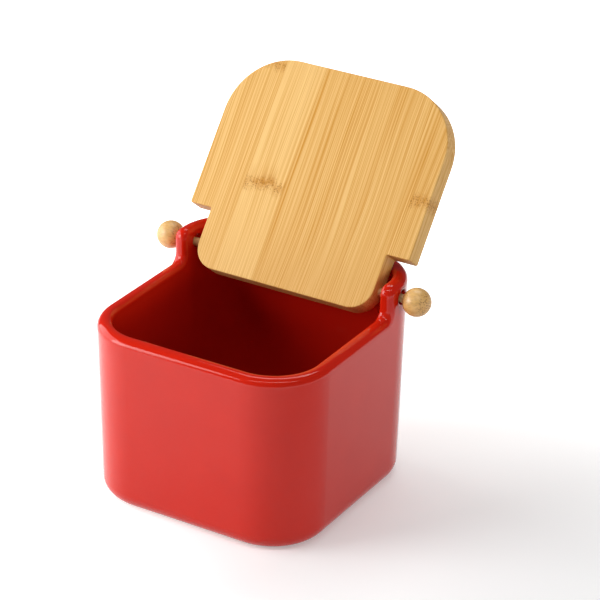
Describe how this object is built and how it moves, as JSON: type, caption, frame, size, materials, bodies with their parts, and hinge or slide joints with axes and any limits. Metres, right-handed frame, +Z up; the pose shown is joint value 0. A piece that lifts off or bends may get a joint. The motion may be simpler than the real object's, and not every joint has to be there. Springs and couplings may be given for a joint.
{
  "type": "salt canister",
  "caption": "Square glazed ceramic salt canister with rounded corners and a bamboo lid that turns on a wooden dowel with ball ends.",
  "frame": {"origin": "middle of the foot, on the surface that the canister stands on", "axes": "+X to the right along the dowel, +Y to the back, where the lid turns, +Z up"},
  "size_m": [0.1366, 0.1437, 0.1608],
  "materials": {
    "red_glaze": "gloss",
    "bamboo": "satin",
    "turned_wood": "satin",
    "dowel_wood": "matte"
  },
  "bodies": {
    "canister": {"canister_body": "red_glaze"},
    "lid": {"lid_strip_1": "bamboo", "lid_strip_2": "bamboo", "lid_strip_3": "bamboo", "lid_strip_4": "bamboo", "lid_strip_5": "bamboo", "lid_strip_6": "bamboo", "lid_strip_7": "bamboo", "axle_dowel": "dowel_wood", "left_ball": "turned_wood", "right_ball": "turned_wood"}
  },
  "joints": [
    {"name": "lid_hinge", "type": "hinge", "parent": "canister", "child": "lid", "pos_m": [0, 0.032, 0.0884], "axis": [1, 0, 0], "range_deg": [0, 128.7]}
  ]
}
